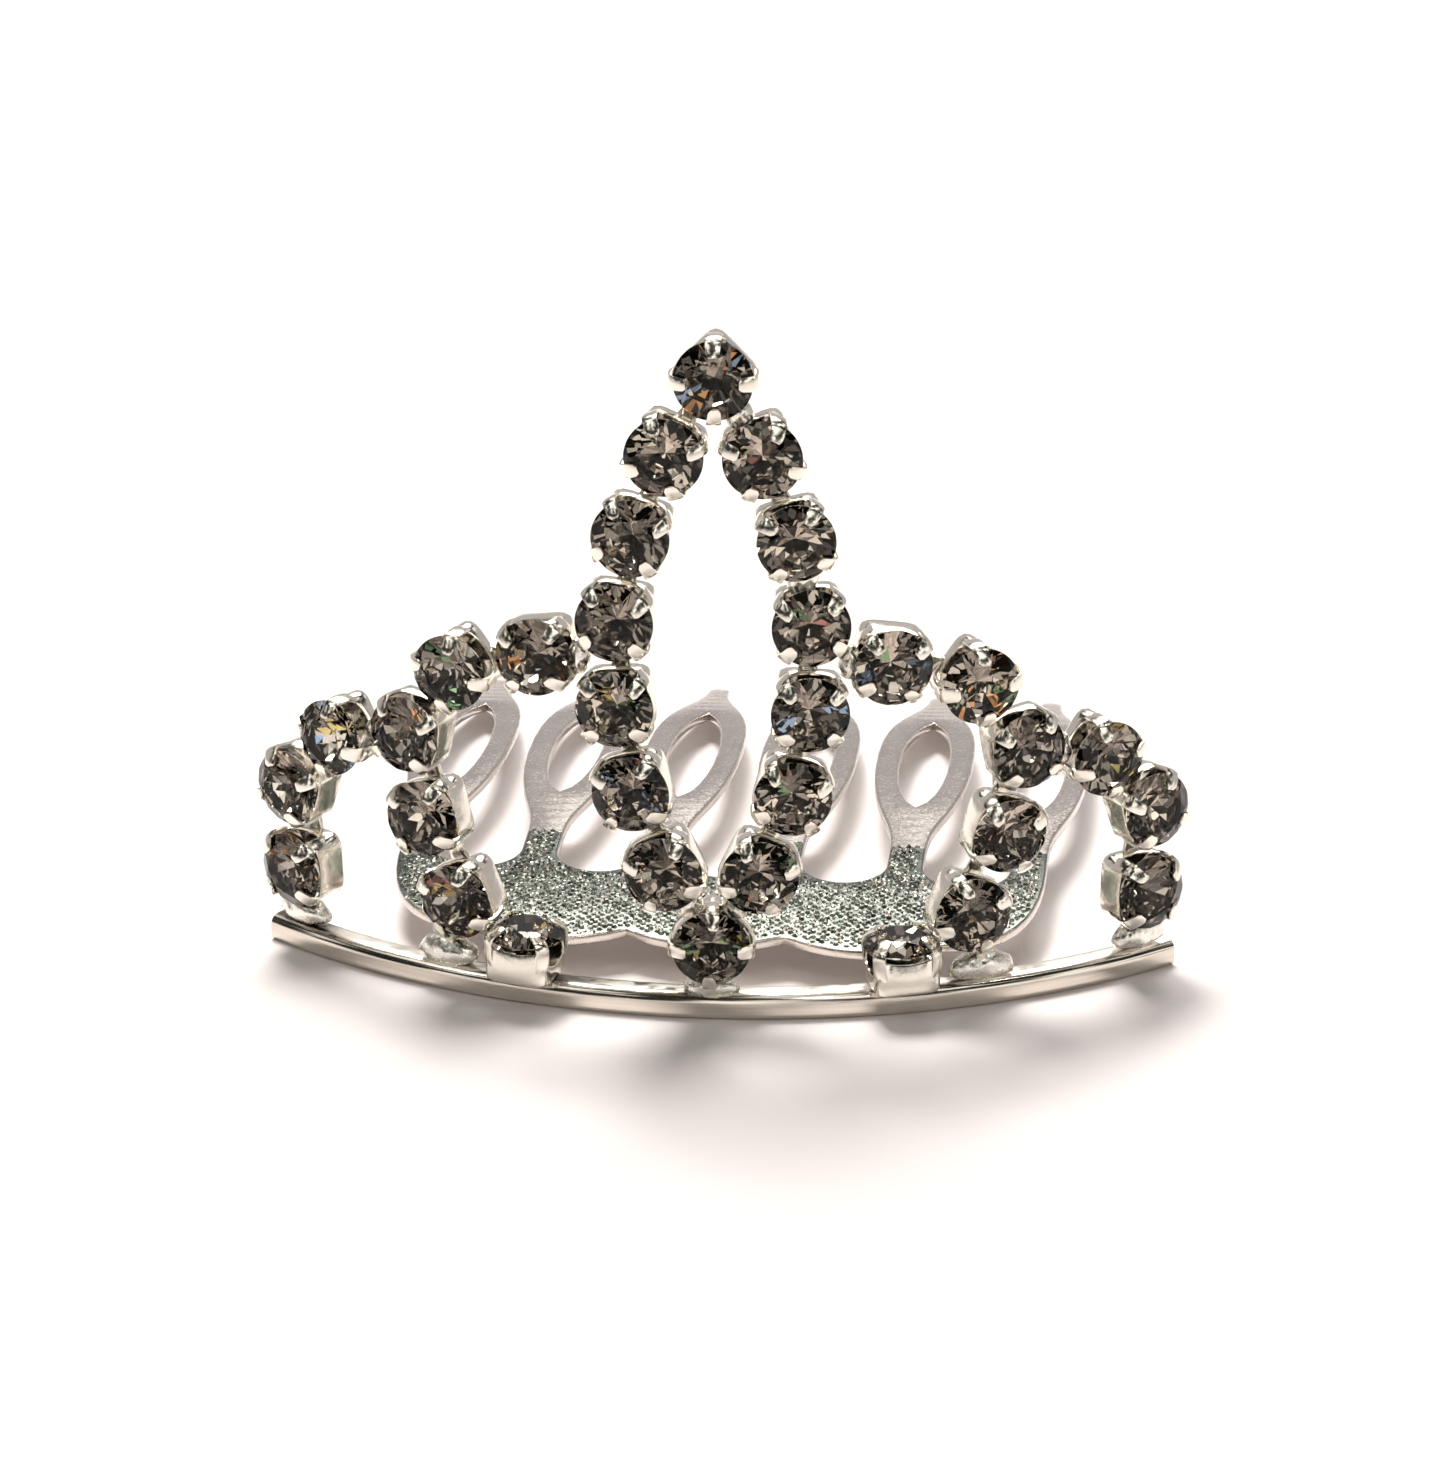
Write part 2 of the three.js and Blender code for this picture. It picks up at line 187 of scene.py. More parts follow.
seats = {}  # stone node -> the matrix of its cup
tip = stonePlace("marquise_tip_stone_1")
foot = stonePlace("marquise_foot_stone_1")
seats["marquise_tip_stone_1"] = seatMatrix(tip, layout["tipHeading"])
seats["marquise_foot_stone_1"] = seatMatrix(foot, layout["tipHeading"])
strips = {"marquise_foot_cup": ["marquise_foot_stone_1"]}
for sideName, side in (("left", -1), ("right", 1)):
    runs = {}
    for run, count in (("marquise", 6), ("inner_arch", 5), ("outer_arch", 3)):
        runs[run] = [f"{run}_{sideName}_stone_{number + 1}" for number in range(count)]
    places = {node: stonePlace(node) for run in runs.values() for node in run}
    ends = {"marquise": (tip, foot), "inner_arch": (None, None),
            "outer_arch": (places[runs["inner_arch"][2]], None)}
    for run, nodes in runs.items():
        before, after = ends[run]
        headings = runHeadings([places[node] for node in nodes], side, before, after)
        for node, heading in zip(nodes, headings):
            seats[node] = seatMatrix(places[node], heading)
    footNode = f"leg_foot_{sideName}_stone"
    seats[footNode] = footMatrix(stonePlace(footNode))
    strips[f"leg_foot_{sideName}_cup"] = [footNode]
    strips[f"inner_arch_{sideName}_strip"] = runs["inner_arch"]
    strips[f"outer_arch_{sideName}_strip"] = runs["outer_arch"]
    leaf = runs["marquise"]
    if side < 0:
        strips["marquise_left_strip"] = ["marquise_tip_stone_1", *leaf]
    else:
        strips["marquise_right_upper_strip"] = leaf[:2]
        strips["marquise_right_lower_strip"] = leaf[2:]
seats = {node: handBent(matrix, node) for node, matrix in seats.items()}
print("seats placed,", len(seats))


# Silver plate on brass, barrel polished: bright and a little warm, with soft dents and fine rub marks.
def platedSilver(name, look):
    material, tree = newMaterial(name)
    place = addNode(tree, "ShaderNodeTexCoord").outputs["Object"]
    rubs = addNode(tree, "ShaderNodeTexNoise", {"Scale": 1 / (look["rubSize"] * mm), "Detail": 5},
                   {"Vector": place})
    dents = addNode(tree, "ShaderNodeTexNoise", {"Scale": 1 / (look["dentSize"] * mm), "Detail": 2},
                    {"Vector": place})
    rough = addNode(tree, "ShaderNodeMapRange",
                    {"From Min": 0.3, "From Max": 0.75, "To Min": look["roughness"][0],
                     "To Max": look["roughness"][1]}, {"Value": rubs.outputs["Fac"]})
    tone = addNode(tree, "ShaderNodeMix",
                   {"data_type": "RGBA", 6: linearColour(look["light"]), 7: linearColour(look["dark"])},
                   {0: dents.outputs["Fac"]})
    dented = addNode(tree, "ShaderNodeBump",
                     {"Strength": look["dentBump"], "Distance": 0.05 * mm},
                     {"Height": dents.outputs["Fac"]})
    paintedGlints = addNode(tree, "ShaderNodeBump",
                   {"Strength": look["rubBump"], "Distance": 0.01 * mm},
                   {"Height": rubs.outputs["Fac"], "Normal": dented.outputs["Normal"]})
    shader = addNode(tree, "ShaderNodeBsdfPrincipled", {"Metallic": 1},
                     {"Base Color": tone.outputs[2], "Roughness": rough.outputs["Result"],
                      "Normal": paintedGlints.outputs["Normal"]})
    addNode(tree, "ShaderNodeOutputMaterial", links={"Surface": shader.outputs["BSDF"]})
    return material


silverPlateCup = platedSilver("silver_plate_on_pressed_brass", {
    "light": "#fbf8f1", "dark": "#e9e2d3", "roughness": (0.1, 0.26),
    "rubSize": 0.12, "dentSize": 0.9, "dentBump": 0.5, "rubBump": 0.3})
softSolder = platedSilver("soft_solder_plated_over", {
    "light": "#fdfbf5", "dark": "#e8e4da", "roughness": (0.16, 0.4),
    "rubSize": 0.2, "dentSize": 0.5, "dentBump": 0.9, "rubBump": 0.5})


# Silver plate on a drawn bar: polished front with faint lines along it, and a rough, streaked top,
# painted dark grey between its bright streaks as a painted reflection of the dark room.
def drawnSilver(name, look):
    material, tree = newMaterial(name)
    place = addNode(tree, "ShaderNodeTexCoord").outputs["Object"]
    along = addNode(tree, "ShaderNodeMapping",
                    {"Scale": (1 / (look["lineLength"] * mm), 1 / (look["lineLength"] * mm),
                               1 / (look["lineWidth"] * mm))}, {"Vector": place})
    lines = addNode(tree, "ShaderNodeTexNoise", {"Scale": 1, "Detail": 3},
                    {"Vector": along.outputs["Vector"]})
    grit = addNode(tree, "ShaderNodeTexNoise", {"Scale": 1 / (look["gritSize"] * mm), "Detail": 4},
                   {"Vector": place})
    height = addNode(tree, "ShaderNodeSeparateXYZ", links={"Vector": place})
    top = addNode(tree, "ShaderNodeMapRange",
                  {"From Min": look["topFrom"][0] * mm, "From Max": look["topFrom"][1] * mm,
                   "To Min": 0, "To Max": 1}, {"Value": height.outputs["Z"]})
    polish = addNode(tree, "ShaderNodeMapRange",
                     {"From Min": 0.3, "From Max": 0.7, "To Min": look["polish"][0],
                      "To Max": look["polish"][1]}, {"Value": lines.outputs["Fac"]})
    rough = addNode(tree, "ShaderNodeMix", {"data_type": "FLOAT", 3: look["topRoughness"]},
                    {0: top.outputs["Result"], 2: polish.outputs["Result"]})
    mark = addNode(tree, "ShaderNodeMix", {"data_type": "FLOAT"},
                   {0: top.outputs["Result"], 2: lines.outputs["Fac"], 3: grit.outputs["Fac"]})
    tone = addNode(tree, "ShaderNodeMix",
                   {"data_type": "RGBA", 6: linearColour(look["light"]), 7: linearColour(look["dark"])},
                   {0: lines.outputs["Fac"]})
    streaks = addNode(tree, "ShaderNodeMapRange",
                      {"From Min": look["streaks"][0], "From Max": look["streaks"][1],
                       "To Min": 0, "To Max": 1}, {"Value": lines.outputs["Fac"]})
    # the top's colour: dark grey between bright streaks, a painted reflection of the dark room
    paintedTop = addNode(tree, "ShaderNodeMix",
                     {"data_type": "RGBA", 6: linearColour(look["topReflectionDark"]),
                      7: linearColour(look["topLight"])}, {0: streaks.outputs["Result"]})
    whole = addNode(tree, "ShaderNodeMix", {"data_type": "RGBA"},
                    {0: top.outputs["Result"], 6: tone.outputs[2], 7: paintedTop.outputs[2]})
    bump = addNode(tree, "ShaderNodeBump", {"Strength": look["bump"], "Distance": 0.02 * mm},
                   {"Height": mark.outputs[0]})
    shader = addNode(tree, "ShaderNodeBsdfPrincipled", {"Metallic": 1},
                     {"Base Color": whole.outputs[2], "Roughness": rough.outputs[0],
                      "Normal": bump.outputs["Normal"]})
    addNode(tree, "ShaderNodeOutputMaterial", links={"Surface": shader.outputs["BSDF"]})
    return material


# the top's dark colour is a painted reflection of the dark room
silverPlateBar = drawnSilver("silver_plate_on_drawn_bar", {
    "light": "#ece5dc", "dark": "#cfc6ba", "topLight": "#f6f1e8", "topReflectionDark": "#57534c",
    "streaks": (0.46, 0.56), "lineLength": 9, "lineWidth": 0.16, "gritSize": 0.22,
    "topFrom": (1.2, 1.38), "polish": (0.08, 0.2), "topRoughness": 0.3, "bump": 0.6})


# Silver plate on stamped steel: greyer, satin, with the fine grain of rolled sheet.
def stampedSteel(name, look):
    material, tree = newMaterial(name)
    place = addNode(tree, "ShaderNodeTexCoord").outputs["Object"]
    grain = addNode(tree, "ShaderNodeTexNoise", {"Scale": 1 / (look["grain"] * mm), "Detail": 6},
                    {"Vector": place})
    cloud = addNode(tree, "ShaderNodeTexNoise", {"Scale": 1 / (look["cloud"] * mm), "Detail": 2},
                    {"Vector": place})
    rough = addNode(tree, "ShaderNodeMapRange",
                    {"From Min": 0.3, "From Max": 0.7, "To Min": look["roughness"][0],
                     "To Max": look["roughness"][1]}, {"Value": grain.outputs["Fac"]})
    tone = addNode(tree, "ShaderNodeMix",
                   {"data_type": "RGBA", 6: linearColour(look["light"]), 7: linearColour(look["dark"])},
                   {0: cloud.outputs["Fac"]})
    bump = addNode(tree, "ShaderNodeBump", {"Strength": look["bump"], "Distance": 0.01 * mm},
                   {"Height": grain.outputs["Fac"]})
    shader = addNode(tree, "ShaderNodeBsdfPrincipled", {"Metallic": 1},
                     {"Base Color": tone.outputs[2], "Roughness": rough.outputs["Result"],
                      "Normal": bump.outputs["Normal"]})
    addNode(tree, "ShaderNodeOutputMaterial", links={"Surface": shader.outputs["BSDF"]})
    return material


silverPlateSheet = stampedSteel("silver_plate_on_stamped_steel", {
    "light": "#e2dcd7", "dark": "#c6bfb9", "grain": 0.18, "cloud": 2.5,
    "roughness": (0.14, 0.3), "bump": 0.5})
# the knurled spine's copy of the plate is painted dark green-grey: a painted reflection of the dark
# ceiling
knurlPaintedDarkSheet = stampedSteel("knurled_steel_painted_dark_reflection", {
    "light": "#9ca29a", "dark": "#4a504b", "grain": 0.1, "cloud": 1.2,
    "roughness": (0.1, 0.3), "bump": 0.8})


# Clear lead-free crystal, cut and polished by machine: sharp refraction, faintly smoky in places.
def cutGlass(name, look):
    material, tree = newMaterial(name)
    place = addNode(tree, "ShaderNodeTexCoord").outputs["Object"]
    smear = addNode(tree, "ShaderNodeTexNoise", {"Scale": 1 / (look["smear"] * mm), "Detail": 3},
                    {"Vector": place})
    tint = addNode(tree, "ShaderNodeMix",
                   {"data_type": "RGBA", 6: linearColour(look["clear"]), 7: linearColour(look["smoky"])},
                   {0: smear.outputs["Fac"]})
    shader = addNode(tree, "ShaderNodeBsdfPrincipled",
                     {"Roughness": 0, "IOR": look["ior"], "Specular Tint": linearColour(look["sheen"]),
                      "Transmission Weight": 1}, {"Base Color": tint.outputs[2]})
    addNode(tree, "ShaderNodeOutputMaterial", links={"Surface": shader.outputs["BSDF"]})
    return material


# Vacuum-laid mirror foil behind the glass: smoky, each facet throwing back its own share of light.
def mirrorFoil(name, look):
    material, tree = newMaterial(name)
    place = addNode(tree, "ShaderNodeTexCoord").outputs["Object"]
    # each facet's foil tone; a few facets are painted in colour as painted fire
    facet = addNode(tree, "ShaderNodeAttribute", {"attribute_name": "facetToneAndPaintedFire"})
    cloud = addNode(tree, "ShaderNodeTexNoise", {"Scale": 1 / (look["cloud"] * mm), "Detail": 2},
                    {"Vector": place})
    smoke = addNode(tree, "ShaderNodeMix",
                    {"data_type": "RGBA", 6: linearColour(look["dark"]), 7: linearColour(look["light"])},
                    {0: cloud.outputs["Fac"]})
    tone = addNode(tree, "ShaderNodeMix", {"data_type": "RGBA", "blend_type": "MULTIPLY", 0: 1.0},
                   {6: smoke.outputs[2], 7: facet.outputs["Color"]})
    shader = addNode(tree, "ShaderNodeBsdfPrincipled", {"Metallic": 1, "Roughness": 0},
                     {"Base Color": tone.outputs[2]})
    addNode(tree, "ShaderNodeOutputMaterial", links={"Surface": shader.outputs["BSDF"]})
    return material


stoneGlass = cutGlass("crown_glass_machine_cut", {
    "clear": "#fbf8f3", "smoky": "#e6e0d8", "ior": 1.56, "sheen": "#a8a5a2", "smear": 0.7})
stoneFoil = mirrorFoil("mirror_foil_on_pavilion", {"dark": "#d8d2cc", "light": "#fbf8f4", "cloud": 0.5})
print("materials made")


stoneCut = {
    "foot": 0.51,  # heights are above the cup's back
    "table": 2.81,
    "radius": 2.0,
    "blank": 48,  # sides of the round blank
    "foilShades": (0.24, 0.32, 0.44, 0.58, 0.72, 0.88, 1.0),  # how brightly a facet's mirror shines
    "paintedFire": 0.045,  # share of facets whose foil is painted in a bright colour: painted fire
    "paintedFireColours": (
        (0.95, 0.55, 0.28), (0.4, 0.6, 0.95), (0.4, 0.72, 0.48), (0.85, 0.45, 0.42), (0.95, 0.85, 0.4)),
    # each grind: downwards or upwards, facets, share of a step turned, tilt, and a point it passes
    "grinds": (
        ("up", 8, 0.0, 32.9, 1.15, 2.81),
        ("up", 8, 0.5, 20.0, 1.0625, 2.81),
        ("up", 16, 0.5, 42.0, 2.0, 2.24),
        ("down", 8, 0.0, 38.5, 0.0, 0.49),
        ("down", 16, 0.5, 42.0, 2.0, 2.2),
    ),
}


# A round blank ground with flat facets, as the real stone is; its back takes the foil.
def cutStone(name):
    part = bmesh.new()
    height = stoneCut["table"] - stoneCut["foot"]
    bmesh.ops.create_cone(part, cap_ends=True, segments=stoneCut["blank"],
                          radius1=stoneCut["radius"], radius2=stoneCut["radius"], depth=height)
    bmesh.ops.translate(part, vec=(0, 0, stoneCut["foot"] + height / 2), verts=part.verts)
    for way, count, step, tilt, reach, level in stoneCut["grinds"]:
        sign = 1 if way == "up" else -1
        for number in range(count):
            turn = 2 * math.pi * (number + step) / count
            outwards = Vector((math.cos(turn), math.sin(turn), 0))
            lean = math.radians(tilt)
            facing = outwards * math.sin(lean) + Vector((0, 0, sign * math.cos(lean)))
            cut = bmesh.ops.bisect_plane(
                part, geom=part.verts[:] + part.edges[:] + part.faces[:], dist=1e-5,
                plane_co=outwards * reach + Vector((0, 0, level)), plane_no=facing, clear_outer=True)
            rim = [item for item in cut["geom_cut"] if isinstance(item, bmesh.types.BMEdge)]
            bmesh.ops.edgeloop_fill(part, edges=rim)
    bmesh.ops.remove_doubles(part, verts=part.verts, dist=0.002)
    bmesh.ops.recalc_face_normals(part, faces=part.faces)
    luck = random.Random("foil " + name)
    tone = part.loops.layers.float_color.new("facetToneAndPaintedFire")

    def facetOrder(face):
        return tuple(round(c, 4) for c in face.calc_center_median())

    for face in sorted(part.faces, key=facetOrder):
        face.material_index = 1 if face.normal.z < -0.1 else 0
        face.smooth = False
        shade = luck.choice(stoneCut["foilShades"]) * luck.uniform(0.85, 1.15)
        warm = luck.uniform(0.93, 1.0)
        colour = (shade, shade * (1 + warm) / 2, shade * warm, 1)
        # a few facets' foil is painted a saturated colour: painted fire
        if luck.random() < stoneCut["paintedFire"]:
            colour = (*luck.choice(stoneCut["paintedFireColours"]), 1)
        for loop in face.loops:
            loop[tone] = colour
    return part


for node, matrix in seats.items():
    whole = bmesh.new()
    mergeInto(whole, cutStone(node), matrix)
    makePiece(f"{node}_facets", whole, [stoneGlass, stoneFoil], node)
print("stones cut")


cupShape = {
    "halfWidth": 1.75,
    "cornerReach": 2.17,
    "sides": 40,
    "depth": 1.98,  # at the corners
    "scoop": 0.22,  # how much lower the rim is between the claws, along the chain
    "slot": 1.15,  # and towards the neighbouring cups, where the link passes
    "slotPower": 0.35,  # lower opens it more squarely
    "wall": 0.16,
    "floor": 0.45,
    "floorRadius": 0.75,
    "floorFillet": (0.4, 0.62),  # out from the floor's edge, and height, where the wall begins
    "backEdge": ((0.2, 0), (0.06, 0.05), (0, 0.18), (0, 0.55)),  # inset and height
    "backDimple": (0.7, 0.14),  # radius and depth of the pressed mark on the back
}
clawShape = {
    "width": 0.75,
    "thickness": 0.21,
    "square": 6,  # power of its rounded oblong section
    "sides": 12,
    # out from the middle of the cup, above its back, and share of the full width
    "path": ((2.0, 0.9, 1.0), (2.13, 1.3, 1.0), (2.17, 1.8, 1.0), (2.165, 2.15, 1.0), (2.1, 2.36, 0.98),
             (1.93, 2.51, 0.97), (1.72, 2.64, 0.93), (1.46, 2.79, 0.84), (1.31, 2.85, 0.5)),
    "stray": 10,  # degrees that a claw's tip may wander
}


def squareReach(turn):
    power = 1 / (0.5 - math.log2(cupShape["cornerReach"] / cupShape["halfWidth"]))
    spread = abs(math.cos(turn)) ** power + abs(math.sin(turn)) ** power
    return cupShape["halfWidth"] / spread ** (1 / power)


def cupRing(inset, rise, level):
    def place(turn):
        # rise 1 follows the scooped rim, 0 is level
        facing = math.cos(2 * turn)
        if facing > 0.01:
            dip = cupShape["slot"] * facing ** cupShape["slotPower"]
        else:
            dip = cupShape["scoop"] * abs(facing)
        reach = squareReach(turn) - inset
        return Vector((math.cos(turn) * reach, math.sin(turn) * reach, level - rise * dip))
    return place


def roundRing(radius, level):
    return lambda turn: Vector((math.cos(turn) * radius, math.sin(turn) * radius, level))


def pressCup(whole, matrix, name):
    luck = random.Random("cup " + name)
    depth = cupShape["depth"]
    wall = cupShape["wall"]
    dimple, pressed = cupShape["backDimple"]
    floorRadius = cupShape["floorRadius"]
    filletOut, filletRise = cupShape["floorFillet"]
    part = bmesh.new()
    loftRings(part, cupShape["sides"], [
        roundRing(dimple - 0.16, pressed), roundRing(dimple, 0.02), roundRing(dimple + 0.12, 0),
        *[cupRing(inset, 0, level) for inset, level in cupShape["backEdge"]],
        cupRing(0, 1, depth - 0.08), cupRing(wall * 0.3, 1, depth), cupRing(wall * 0.8, 1, depth - 0.01),
        cupRing(wall, 1, depth - 0.1),
        roundRing(floorRadius + filletOut, filletRise), roundRing(floorRadius, cupShape["floor"])])
    mergeInto(whole, part, matrix)
    for number in range(4):
        part = bmesh.new()
        stray = math.radians(luck.uniform(-1, 1) * clawShape["stray"])
        press = luck.uniform(-0.05, 0.06)
        width = clawShape["width"] * luck.uniform(0.92, 1.08)
        rings = []
        path = clawShape["path"]
        for step, (reach, level, share) in enumerate(path):
            back, ahead = path[max(step - 1, 0)], path[min(step + 1, len(path) - 1)]
            way = Vector((ahead[0] - back[0], ahead[1] - back[1])).normalized()
            along = step / (len(path) - 1)
            thickness = clawShape["thickness"] * (1 if share > 0.7 else 0.5)
            rings.append(clawRing(reach + press * along, level, way, width * share, thickness,
                                  stray * along ** 2))
        loftRings(part, clawShape["sides"], rings)
        quarter = Matrix.Rotation(math.pi / 4 + number * math.pi / 2, 4, "Z")
        mergeInto(whole, part, matrix @ quarter)


def clawRing(reach, level, way, width, thickness, stray):
    def place(turn):
        # a rounded oblong across the claw, square to the way that it runs
        x, y = math.cos(turn), math.sin(turn)
        swell = 1 / (x ** clawShape["square"] + y ** clawShape["square"]) ** (1 / clawShape["square"])
        out = x * swell * thickness / 2
        point = Vector((reach + out * way.y, y * swell * width / 2, level - out * way.x))
        point.rotate(Matrix.Rotation(stray, 3, "Z"))
        return point
    return place


linkShape = {
    "width": 1.25,
    "thickness": 0.3,
    "overlap": 0.3,
    "waist": 0.72,  # share of the width half way along
    "square": 6,
    "sides": 16,
}


# The flat strip between two cups' backs, a little narrower half way.
def addLink(whole, start, end):
    ahead = end.translation - start.translation
    outwards = (start.col[2].to_3d() + end.col[2].to_3d()).normalized()
    ahead -= outwards * ahead.dot(outwards)
    run = ahead.normalized()
    across = outwards.cross(run)
    middle = (start.translation + end.translation) / 2 + outwards * cupShape["floor"] / 2
    length = ahead.length - 2 * cupShape["halfWidth"] + 2 * linkShape["overlap"]

    def ring(share):
        waist = 1 - (1 - linkShape["waist"]) * (1 - (2 * share) ** 2)

        def place(turn):
            x, y = math.cos(turn), math.sin(turn)
            swell = 1 / (x ** linkShape["square"] + y ** linkShape["square"]) ** (1 / linkShape["square"])
            return Vector((share * length, y * swell * linkShape["width"] / 2 * waist,
                           x * swell * linkShape["thickness"] / 2))
        return place

    part = bmesh.new()
    loftRings(part, linkShape["sides"], [ring(share / 4 - 0.5) for share in range(5)])
    turned = Matrix((run, across, outwards)).transposed().to_4x4()
    mergeInto(whole, part, Matrix.Translation(middle) @ turned)


for node, stones in strips.items():
    whole = bmesh.new()
    for index, stone in enumerate(stones):
        pressCup(whole, seats[stone], stone)
        if index:
            addLink(whole, seats[stones[index - 1]], seats[stone])
    makePiece(f"{node}_pressed", whole, [silverPlateCup], node, sharpFrom=50)
print("cups pressed")


solderShape = {
    "rings": 12,
    "sides": 20,
    "lump": 0.16,
    "lumpSize": 0.55,
    "skirt": 0.45,  # share of its width that a drop on the band loses from foot to top
}
solderSizes = {  # across the joint, along the band or chain, and out from it
    "marquise_right_solder": (1.7, 1.9, 1.7),
    "marquise_tip_solder": (1.5, 1.6, 1.4),
    "marquise_foot_solder": (2.8, 1.3, 1.5),
    "marquise_foot_solder_left": (1.4, 1.6, 1.5),
    "marquise_foot_solder_right": (1.4, 1.6, 1.5),
}
for sideName in ("left", "right"):
    solderSizes[f"inner_arch_{sideName}_solder"] = (1.2, 1.9, 1.5)
    solderSizes[f"outer_arch_{sideName}_solder"] = (1.3, 1.8, 1.5)
    solderSizes[f"leg_{sideName}_solder"] = (3.4, 1.7, 1.5)
    solderSizes[f"end_post_{sideName}_solder"] = (3.1, 1.7, 1.5)
    solderSizes[f"comb_solder_{sideName}"] = (2.3, 1.3, 2.2)


def solderDrop(name, size):
    part = bmesh.new()
    onBand = name == "marquise_foot_solder" or name.startswith(("leg_", "end_post_"))
    skirt = solderShape["skirt"] if onBand else 0
    rings = solderShape["rings"]

    def ring(step):
        lean = math.pi * (step + 0.35) / (rings - 0.3)
        return roundRing(math.sin(lean) / 2, -math.cos(lean) / 2)

    verts = loftRings(part, solderShape["sides"], [ring(step) for step in range(rings)])
    shift = Vector([random.Random(name).uniform(0, 90)] * 3)
    for vert in verts:
        vert.co = Vector((vert.co.x * size[0], vert.co.y * size[1], vert.co.z * size[2]))
        lump = noise.noise(vert.co / solderShape["lumpSize"] + shift)
        vert.co *= 1 + solderShape["lump"] * lump
        vert.co.x *= 1 - skirt * vert.co.y / size[1]
    return part


for node, size in solderSizes.items():
    low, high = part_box(node)
    middle = (low + high) / 2 / mm
    turn = math.atan2(middle.x, axisY - middle.y)
    outwards = Vector((math.sin(turn), -math.cos(turn), 0))
    sideways = Vector((math.cos(turn), math.sin(turn), 0))
    turned = Matrix((sideways, Vector((0, 0, 1)), outwards)).transposed().to_4x4()
    whole = bmesh.new()
    mergeInto(whole, solderDrop(node, size), Matrix.Translation(middle) @ turned)
    makePiece(f"{node}_drop", whole, [softSolder], node, sharpFrom=80)
print("solder dropped")


bandShape = {
    "inner": 36.5,
    "outer": 37.9,
    "height": 1.4,
    "corner": 9,  # power of the rounded square: higher is squarer
    "ledge": 2.6,  # the same for the top front corner, which is worn into a slope
    "sides": 36,
    "steps": 180,
    "burr": 0.035,  # how much the cut top edge wanders
    "burrDepth": 0.12,  # how far down it does
    "burrSize": 0.5,
}


def drawBand():
    low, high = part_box("base_band")
    half = math.asin(high.x / mm / bandShape["outer"])
    part = bmesh.new()
    ring = bmesh.ops.create_circle(part, cap_ends=True, segments=bandShape["sides"], radius=1)["verts"]
    middle = (bandShape["inner"] + bandShape["outer"]) / 2
    thick = (bandShape["outer"] - bandShape["inner"]) / 2
    for vert in ring:
        turn = math.atan2(vert.co.y, vert.co.x)
        x, y = math.cos(turn), math.sin(turn)
        power = bandShape["ledge"] if x > 0 and y > 0 else bandShape["corner"]
        swell = 1 / (abs(x) ** power + abs(y) ** power) ** (1 / power)
        level = (1 + y * swell) * bandShape["height"] / 2
        vert.co = Vector((0, axisY - middle - x * swell * thick, level))
    centre = Vector((0, axisY, 0))
    bmesh.ops.rotate(part, cent=centre, matrix=Matrix.Rotation(-half, 3, "Z"), verts=ring)
    bmesh.ops.spin(part, geom=part.faces[:], cent=centre, axis=(0, 0, 1), dvec=(0, 0, 0),
                   angle=2 * half, steps=bandShape["steps"], use_merge=False, use_duplicate=False)
    bmesh.ops.holes_fill(part, edges=part.edges[:], sides=0)
    bmesh.ops.recalc_face_normals(part, faces=part.faces)
    for vert in part.verts:
        if vert.co.z > bandShape["height"] - bandShape["burrDepth"]:
            rough = noise.noise(vert.co / bandShape["burrSize"]) * bandShape["burr"]
            vert.co.z += min(rough, 0)
    return part


makePiece("base_band_drawn", drawBand(), [silverPlateBar], "base_band", sharpFrom=60)
print("band drawn")


combShape = {
    "teeth": 6,
    "pitch": 6.6,
    "stemWidth": 2,
    "loopWidth": 5.5,
    "loopArm": 1.35,
    "tipWidth": 1.3,
    "spine": 7.5,  # front of the lobes to the bottom of a valley
    "stemEnd": 12,
    "loopStart": 16.5,
    "loopMiddle": 27,
    "loopEnd": 35.2,
    "length": 40.6,
    "lobes": 5,
    "lobeDepth": 1.2,
    "corner": 5,
    "thickness": 0.6,
    "edge": 0.16,  # rounding of the stamped edge
    "bendRadius": 131,
    "skew": 2.6,
    "front": 1.5,  # height of the lobes' underside
    "slice": 1.0,  # length of the flat steps along the bend
}
knurl = {
    "pitch": 0.5,
    "radius": 0.2,
    "height": (0.08, 0.18),
    "sides": 5,
    "margin": 0.3,
    "stray": 0.07,
    "start": 0.3,  # behind the front of the lobes
    "taper": 0.35,  # a point's top as a share of its foot
    "sink": 0.02,
    "paintedGlints": 0.2,  # share of the points' faces given the bright sheet: painted glints
    "backTo": 12,  # runs up the roots of the stems
    "flat": 0.95,  # least Z of a knurled face's normal
}


# Adds one closed outline from steps of two handles and an end.
def addOutline(curve, start, steps):
    spline = curve.splines.new("BEZIER")
    spline.use_cyclic_u = True
    spline.bezier_points.add(len(steps) - 1)
    points = spline.bezier_points
    anchors = [start] + [step[2] for step in steps[:-1]]
    for point, anchor in zip(points, anchors):
        point.co = Vector((*anchor, 0))
    for index, (first, second, _) in enumerate(steps):
        points[index].handle_right = Vector((*first, 0))
        points[(index + 1) % len(points)].handle_left = Vector((*second, 0))


def straight(start, end):
    start, end = Vector(start), Vector(end)
    return tuple(start.lerp(end, 1 / 3)), tuple(start.lerp(end, 2 / 3)), tuple(end)


def swung(start, pull, end):
    start, pull, end = Vector(start), Vector(pull), Vector(end)
    return tuple(start.lerp(pull, 2 / 3)), tuple(end.lerp(pull, 2 / 3)), tuple(end)


quarterHandle = 0.5523  # a handle that makes a quarter circle, as a share of its radius


def halfTurn(middle, radius, way, side):
    # two quarter turns from one side of the middle to the other, by way of +Y or -Y
    x, y = middle
    handle = radius * quarterHandle
    far = y + way * radius
    start, end = x + side * radius, x - side * radius
    return [((start, y + way * handle), (x + side * handle, far), (x, far)),
            ((x - side * handle, far), (end, y + way * handle), (end, y))]


